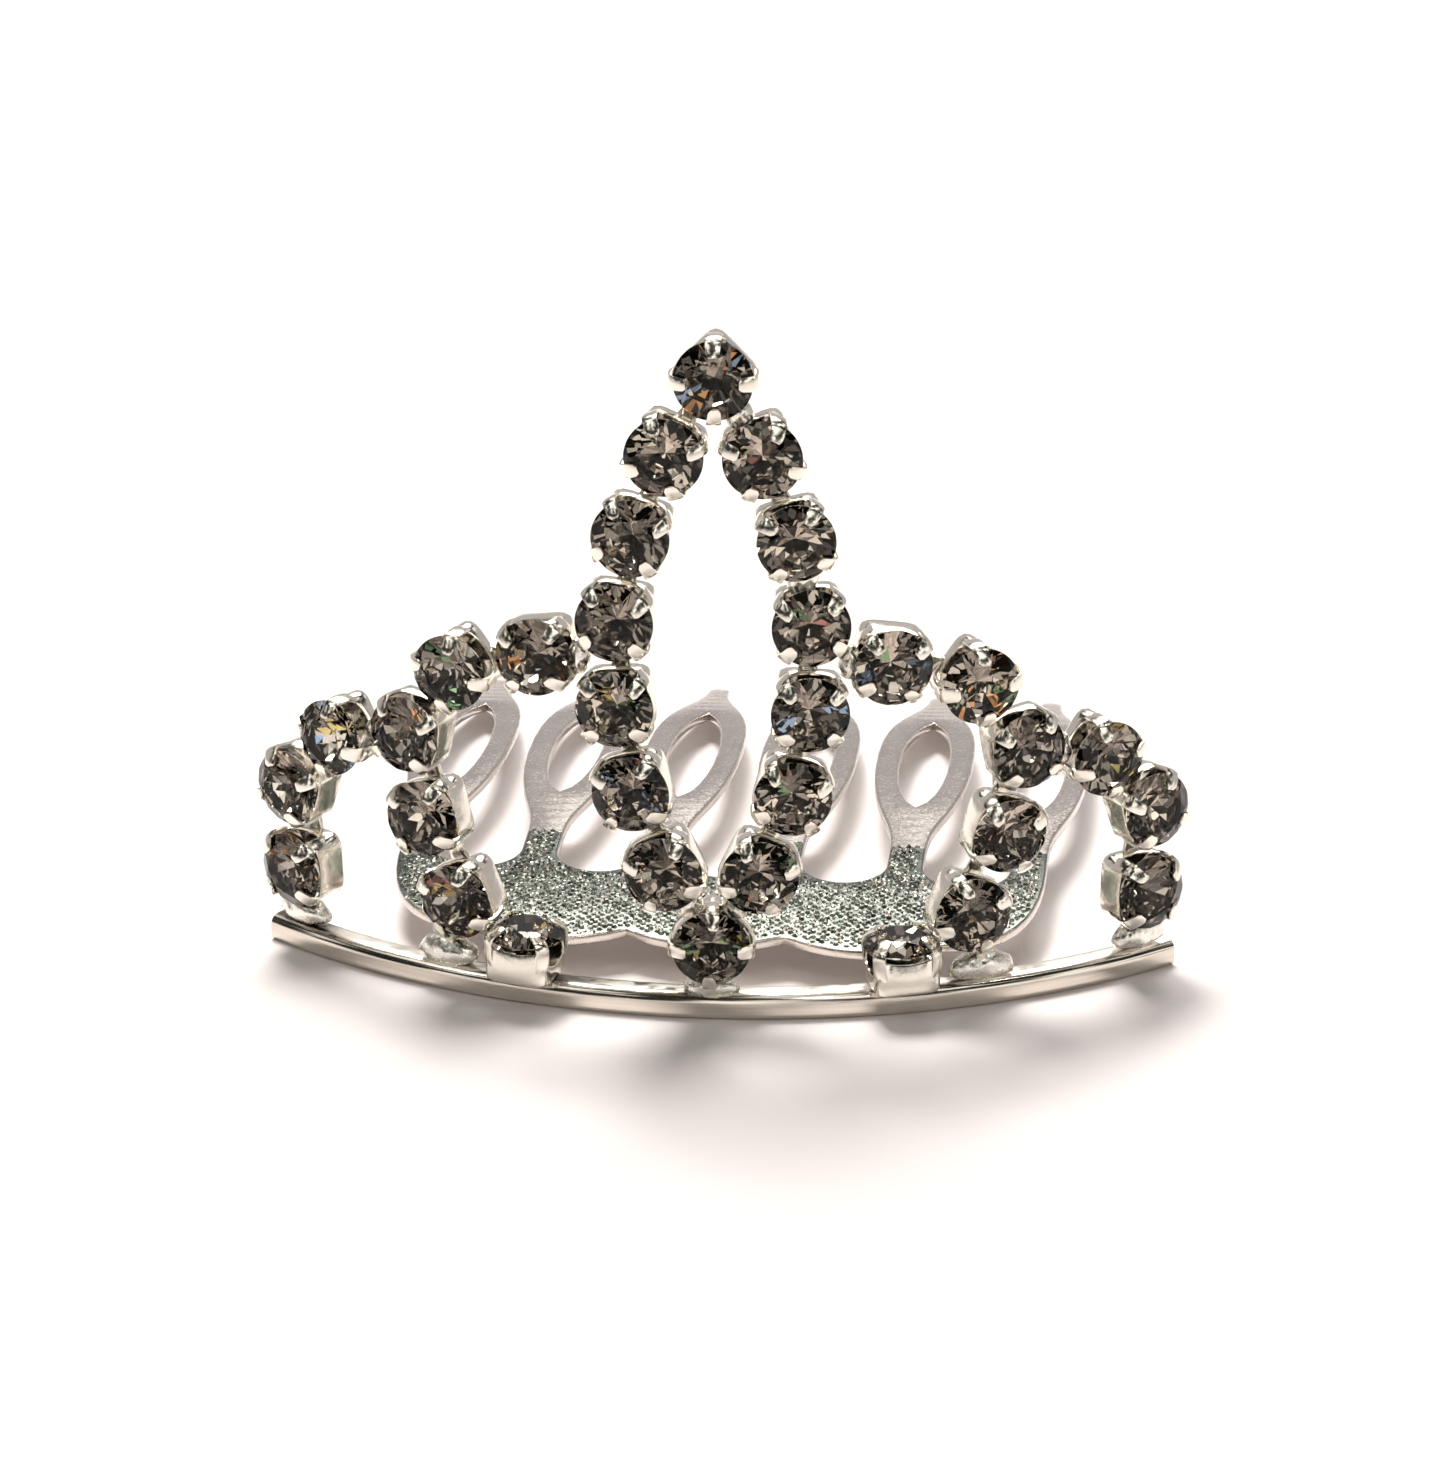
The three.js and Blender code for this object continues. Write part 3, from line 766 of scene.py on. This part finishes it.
def combCurve():
    shape = combShape
    half = ((shape["teeth"] - 1) * shape["pitch"] + shape["stemWidth"]) / 2
    valley = (shape["pitch"] - shape["stemWidth"]) / 2
    stemStart = shape["spine"] + valley
    deep = shape["lobeDepth"]
    curve = bpy.data.curves.new("comb_outline", "CURVE")
    curve.dimensions = "2D"
    curve.fill_mode = "BOTH"
    curve.resolution_u = 10
    steps = [swung((-half, stemStart), (-half, deep), (shape["corner"] - half, deep))]
    middleLobes = shape["lobes"] - 2
    lobeWidth = 2 * (half - shape["corner"]) / middleLobes
    for lobe in range(middleLobes):
        begin = shape["corner"] - half + lobe * lobeWidth
        steps.append(swung((begin, deep), (begin + lobeWidth / 2, -deep), (begin + lobeWidth, deep)))
    steps.append(swung((half - shape["corner"], deep), (half, deep), (half, stemStart)))
    tipRadius = shape["tipWidth"] / 2
    tipStart = shape["length"] - tipRadius
    for tooth in reversed(range(shape["teeth"])):
        middle = (tooth - (shape["teeth"] - 1) / 2) * shape["pitch"]
        for side in (1, -1):
            stem = middle + side * shape["stemWidth"] / 2
            loop = middle + side * shape["loopWidth"] / 2
            end = middle + side * tipRadius
            # stem, flare to the loop's widest, then the neck down to the tip
            stretches = [
                ((stem, shape["stemEnd"]), (stem, shape["loopStart"]), (loop, shape["loopStart"]),
                 (loop, shape["loopMiddle"])),
                ((loop, shape["loopMiddle"]), (loop, shape["loopEnd"]), (end, shape["loopEnd"]),
                 (end, tipStart))]
            if side > 0:
                steps.append(straight((stem, stemStart), (stem, shape["stemEnd"])))
                steps += [stretch[1:] for stretch in stretches]
                steps += halfTurn((middle, tipStart), tipRadius, 1, 1)
            else:
                steps += [stretch[2::-1] for stretch in reversed(stretches)]
                steps.append(straight((stem, shape["stemEnd"]), (stem, stemStart)))
        if tooth:
            steps += halfTurn((middle - shape["pitch"] / 2, stemStart), valley, -1, 1)
        # the window of the loop
        openHalf = shape["loopWidth"] / 2 - shape["loopArm"]
        near = shape["loopStart"] + shape["loopArm"]
        far = shape["loopEnd"] - shape["loopArm"]
        bulge = openHalf * 4 / 3
        addOutline(curve, (middle, near), [
            ((middle - bulge, near + openHalf), (middle - bulge, far - 2 * openHalf), (middle, far)),
            ((middle + bulge, far - 2 * openHalf), (middle + bulge, near + openHalf), (middle, near))])
    addOutline(curve, (-half, stemStart), steps)
    curve.extrude = shape["thickness"] / 2 - shape["edge"]
    curve.bevel_depth = shape["edge"]
    curve.bevel_resolution = 2
    curve.offset = -shape["edge"]
    return curve


def stampComb():
    shape = combShape
    flat = bpy.data.objects.new("comb_flat", combCurve())
    bpy.context.scene.collection.objects.link(flat)
    bpy.context.view_layer.update()
    sheet = bpy.data.meshes.new_from_object(flat)
    outline = flat.data
    bpy.data.objects.remove(flat)
    bpy.data.curves.remove(outline)
    part = bmesh.new()
    part.from_mesh(sheet)
    bpy.data.meshes.remove(sheet)
    bmesh.ops.remove_doubles(part, verts=part.verts, dist=0.002)
    bmesh.ops.recalc_face_normals(part, faces=part.faces)
    bmesh.ops.translate(part, vec=(0, 0, shape["thickness"] / 2), verts=part.verts)
    return part


# Rows of small raised points over the spine, kept off its edges.
def knurlSpine(part):
    skin = BVHTree.FromBMesh(part)
    top = combShape["thickness"]
    half = combShape["teeth"] * combShape["pitch"] / 2
    rows = int(knurl["backTo"] / (knurl["pitch"] / 2))
    columns = int(2 * half / knurl["pitch"])
    dots = bmesh.new()
    made = 0
    for row in range(rows):
        for column in range(columns):
            x = -half + (column + 0.5 * (row % 2)) * knurl["pitch"]
            y = row * knurl["pitch"] / 2 + knurl["start"]
            rim = [Vector((x, y, top + 1)) + Vector((math.cos(a), math.sin(a), 0)) * knurl["margin"]
                   for a in (0, 1.6, 3.1, 4.7)]
            if any(skin.ray_cast(point, Vector((0, 0, -1)))[0] is None for point in rim):
                continue
            luck = random.Random(row * 1000 + column)
            height = luck.uniform(*knurl["height"])
            aside = [luck.uniform(-knurl["stray"], knurl["stray"]) for _ in range(2)]
            bmesh.ops.create_cone(
                dots, cap_ends=True, segments=knurl["sides"], radius1=knurl["radius"],
                radius2=knurl["radius"] * knurl["taper"], depth=height,
                matrix=Matrix.Translation((x + aside[0], y + aside[1], top + height / 2 - knurl["sink"]))
                @ Matrix.Rotation(luck.uniform(0, 6), 4, "Z"))
            made += 1
    print("knurl points:", made)
    return dots


def sliceComb(part):
    steps = int(combShape["length"] / combShape["slice"])
    for step in range(1, steps):
        bmesh.ops.bisect_plane(part, geom=part.verts[:] + part.edges[:] + part.faces[:], dist=1e-4,
                               plane_co=(0, step * combShape["slice"], 0), plane_no=(0, 1, 0))


def bendComb(part):
    shape = combShape
    whole = shape["length"] / shape["bendRadius"]
    lead = whole / 2 - math.asin(shape["front"] / (2 * shape["bendRadius"] * math.sin(whole / 2)))
    for vert in part.verts:
        turn = vert.co.y / shape["bendRadius"] - lead
        radius = shape["bendRadius"] + vert.co.z
        vert.co.y = radius * math.sin(turn) + shape["bendRadius"] * math.sin(lead)
        vert.co.z = radius * math.cos(turn) - shape["bendRadius"] * math.cos(lead) + shape["front"]


combPart = stampComb()
sliceComb(combPart)
# flat top faces of the spine take the dark sheet: painted reflection of the dark ceiling
for face in combPart.faces:
    onSpine = face.calc_center_median().y < knurl["backTo"] and face.normal.z > knurl["flat"]
    face.material_index = 1 if onSpine else 0
dots = knurlSpine(combPart)
noise.seed_set(7)
# some of the points' faces take the bright sheet as painted glints; the sheet between them stays dark, a
# painted reflection of the dark ceiling
for face in dots.faces:
    face.material_index = 0 if noise.random() < knurl["paintedGlints"] else 1
bendComb(combPart)
bendComb(dots)
low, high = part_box("hair_comb")
turned = Matrix.Rotation(math.radians(-combShape["skew"]), 4, "Z")
whole = bmesh.new()
mergeInto(whole, combPart, turned)
mergeInto(whole, dots, turned)
farCorner = max(vert.co.y for vert in whole.verts)
widest = max(vert.co.x for vert in whole.verts)
bmesh.ops.translate(whole, vec=(high.x / mm - widest, high.y / mm - farCorner, 0), verts=whole.verts)
makePiece("hair_comb_stamped", whole, [silverPlateSheet, knurlPaintedDarkSheet], "hair_comb",
          sharpFrom=40)
print("comb stamped")


studio = {
    "floorSize": 4.0,
    "floor": "#f8f3f3",
    "fibre": 0.6,  # mm
    "keyPower": 2.6,
    "keySize": 0.2,
    "keyPlace": (-0.1, 0.185, 0.5),
    "windowPower": 2.9,
    "windowSize": 0.5,
    "windowPlace": (0.05, 0.48, 0.6),
    "sparkPower": 0.12,
    "sparkSize": 0.03,
    "sparkPlaces": ((-0.35, -0.25, 0.42), (0.3, -0.1, 0.55), (0.12, -0.4, 0.5)),
    "shade": "#33352f",
    "pane": "#efece6",
    "paneLight": 3.0,
    "horizon": "#f4eeec",
    "horizonTop": (0.42, 0.5),  # sine of the elevation where the bright backdrop ends
    "behind": (-0.1, 0.2),  # Y of the directions where it fades in
    "paneSize": 3.4,
    "paneEdge": (0.53, 0.58),
    "roomLight": 0.52,  # as polished faces see it
    "floorFill": 0.22,  # as the matt table sees it
}

floorPart = bmesh.new()
bmesh.ops.create_grid(floorPart, x_segments=1, y_segments=1, size=studio["floorSize"] / 2)
floorMesh = bpy.data.meshes.new("table_top")
floorPart.to_mesh(floorMesh)
floorPart.free()
floorMaterial, tree = newMaterial("matt_white_card")
place = addNode(tree, "ShaderNodeTexCoord").outputs["Object"]
fibre = addNode(tree, "ShaderNodeTexNoise", {"Scale": 1 / (studio["fibre"] * mm), "Detail": 3},
                {"Vector": place})
bump = addNode(tree, "ShaderNodeBump", {"Strength": 0.1, "Distance": 0.02 * mm},
               {"Height": fibre.outputs["Fac"]})
shader = addNode(tree, "ShaderNodeBsdfPrincipled",
                 {"Base Color": linearColour(studio["floor"]), "Roughness": 0.5},
                 {"Normal": bump.outputs["Normal"]})
addNode(tree, "ShaderNodeOutputMaterial", links={"Surface": shader.outputs["BSDF"]})
floorMesh.materials.append(floorMaterial)
floor = bpy.data.objects.new("table_top", floorMesh)
bpy.context.scene.collection.objects.link(floor)


def addLight(name, place, size, power, colour, target=(0, 0, 0.01)):
    data = bpy.data.lights.new(name, "AREA")
    data.shape = "DISK"
    data.size = size
    data.energy = power
    data.color = linearColour(colour)[:3]
    light = bpy.data.objects.new(name, data)
    light.location = place
    light.rotation_euler = (Vector(target) - Vector(place)).to_track_quat("-Z", "Y").to_euler()
    bpy.context.scene.collection.objects.link(light)
    return light


addLight("key", studio["keyPlace"], studio["keySize"], studio["keyPower"], "#fffaf4")
addLight("window", studio["windowPlace"], studio["windowSize"], studio["windowPower"], "#fffaf6")
for number, sparkPlace in enumerate(studio["sparkPlaces"]):
    addLight(f"spark{number + 1}", sparkPlace, studio["sparkSize"], studio["sparkPower"], "#fffdf8")

world = bpy.data.worlds.new("room")
bpy.context.scene.world = world
world.use_nodes = True
tree = world.node_tree
tree.nodes.clear()
way = addNode(tree, "ShaderNodeTexCoord").outputs["Generated"]
split = addNode(tree, "ShaderNodeSeparateXYZ", links={"Vector": way})
rise = addNode(tree, "ShaderNodeMapRange",
               {"From Min": studio["horizonTop"][0], "From Max": studio["horizonTop"][1],
                "To Min": 1, "To Max": 0}, {"Value": split.outputs["Z"]})
behind = addNode(tree, "ShaderNodeMapRange",
                 {"From Min": studio["behind"][0], "From Max": studio["behind"][1],
                  "To Min": 0, "To Max": 1}, {"Value": split.outputs["Y"]})
backdrop = addNode(tree, "ShaderNodeMath", {"operation": "MULTIPLY"},
                   {0: rise.outputs["Result"], 1: behind.outputs["Result"]})
patches = addNode(tree, "ShaderNodeTexNoise", {"Scale": studio["paneSize"], "Detail": 1},
                  {"Vector": way})
panes = addNode(tree, "ShaderNodeMapRange",
                {"From Min": studio["paneEdge"][0], "From Max": studio["paneEdge"][1],
                 "To Min": 0, "To Max": 1}, {"Value": patches.outputs["Fac"]})
paneColour = [part * studio["paneLight"] for part in linearColour(studio["pane"])[:3]] + [1]
ceiling = addNode(tree, "ShaderNodeMix",
                  {"data_type": "RGBA", 6: linearColour(studio["shade"]), 7: paneColour},
                  {0: panes.outputs["Result"]})
room = addNode(tree, "ShaderNodeMix", {"data_type": "RGBA", 7: linearColour(studio["horizon"])},
               {0: backdrop.outputs[0], 6: ceiling.outputs[2]})
eye = addNode(tree, "ShaderNodeLightPath")
seen = addNode(tree, "ShaderNodeMix", {"data_type": "RGBA", 7: (1, 1, 1, 1)},
               {0: eye.outputs["Is Camera Ray"], 6: room.outputs[2]})
fill = addNode(tree, "ShaderNodeMapRange",
               {"From Min": 0, "From Max": 1, "To Min": studio["roomLight"],
                "To Max": studio["floorFill"]}, {"Value": eye.outputs["Is Diffuse Ray"]})
glow = addNode(tree, "ShaderNodeMix", {"data_type": "FLOAT", 3: 1.0},
               {0: eye.outputs["Is Camera Ray"], 2: fill.outputs["Result"]})
sky = addNode(tree, "ShaderNodeBackground",
              links={"Color": seen.outputs[2], "Strength": glow.outputs[0]})
addNode(tree, "ShaderNodeOutputWorld", links={"Surface": sky.outputs["Background"]})

viewpoint = {
    "place": (13.84, -255.45, 108.89),  # mm
    "azimuth": 3.27,
    "elevation": 21.77,
    "roll": 0.29,
    "focal": 124.57,  # mm, as is the sensor
    "sensor": 36,
}
cameraData = bpy.data.cameras.new("camera")
cameraData.lens = viewpoint["focal"]
cameraData.sensor_width = viewpoint["sensor"]
cameraData.sensor_fit = "HORIZONTAL"
cameraData.clip_start = 0.01
camera = bpy.data.objects.new("camera", cameraData)
bpy.context.scene.collection.objects.link(camera)
camera.matrix_world = (
    Matrix.Translation(Vector(viewpoint["place"]) * mm)
    @ Matrix.Rotation(math.radians(viewpoint["azimuth"]), 4, "Z")
    @ Matrix.Rotation(math.radians(90 - viewpoint["elevation"]), 4, "X")
    @ Matrix.Rotation(math.radians(viewpoint["roll"]), 4, "Z"))
bpy.context.scene.camera = camera
bpy.context.scene.view_settings.view_transform = "Standard"
print("studio set")

bpy.context.view_layer.update()
